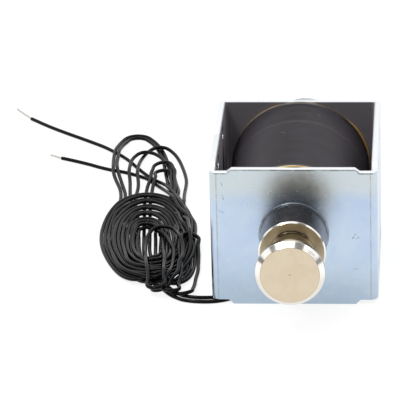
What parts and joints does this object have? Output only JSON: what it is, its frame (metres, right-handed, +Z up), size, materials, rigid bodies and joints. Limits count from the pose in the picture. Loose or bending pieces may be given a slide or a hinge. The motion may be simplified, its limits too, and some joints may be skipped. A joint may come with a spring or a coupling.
{
  "type": "push pull solenoid",
  "caption": "Box-frame push pull solenoid: a grooved plunger slides through a tape-wrapped coil and drives a push rod with a disc head out of the rear; black lead wires lie in a loose hank.",
  "frame": {"origin": "on the surface the frame stands on, centred between the frame's side walls and midway between the front of the plunger head and the rear of the push head", "axes": "+X across the frame, to the right seen from the plunger head; +Y along the plunger, from its head towards the push head; +Z up"},
  "size_m": [0.1371, 0.2037, 0.0476],
  "materials": {
    "zinc_steel": "bright zinc plate, satin, fine scratches",
    "insulating_paper": "golden-brown varnished fibre sheet",
    "bobbin_nylon": "moulded, dark",
    "enamelled_copper": "enamelled wire, layer wound",
    "coil_tape": "dark polyester film tape, slight sheen",
    "guide_brass": "drawn tube, bright cut end",
    "pole_steel": "turned, zinc plated",
    "buffer_nylon": "thin washer",
    "nickel_steel": "turned and nickel plated, warm tone",
    "rod_steel": "ground rod",
    "nut_steel": "plated hex nut",
    "glass_sleeving": "woven sleeving",
    "tinned_copper": "tinned strands",
    "lead_pvc": "black PVC wire insulation"
  },
  "bodies": {
    "coil_frame": {"frame": "zinc_steel", "front_washer": "insulating_paper", "rear_washer": "insulating_paper", "bobbin": "bobbin_nylon", "winding": "enamelled_copper", "tape_front": "coil_tape", "tape_rear": "coil_tape", "guide_tube": "guide_brass", "pole_piece": "pole_steel", "buffer_washer": "buffer_nylon", "splice_sleeves": "glass_sleeving", "solder_joints": "tinned_copper", "lead_a": "lead_pvc", "lead_b": "lead_pvc", "lead_hank": "lead_pvc", "lead_a_end": "lead_pvc", "lead_b_end": "lead_pvc", "lead_tips": "tinned_copper"},
    "armature": {"plunger": "nickel_steel", "push_rod": "rod_steel", "lock_nut": "nut_steel", "push_head": "nickel_steel"}
  },
  "joints": [
    {"name": "plunger_slide", "type": "slide", "parent": "coil_frame", "child": "armature", "axis": [0, 1, 0], "range_m": [-0.02, 0.01]}
  ]
}
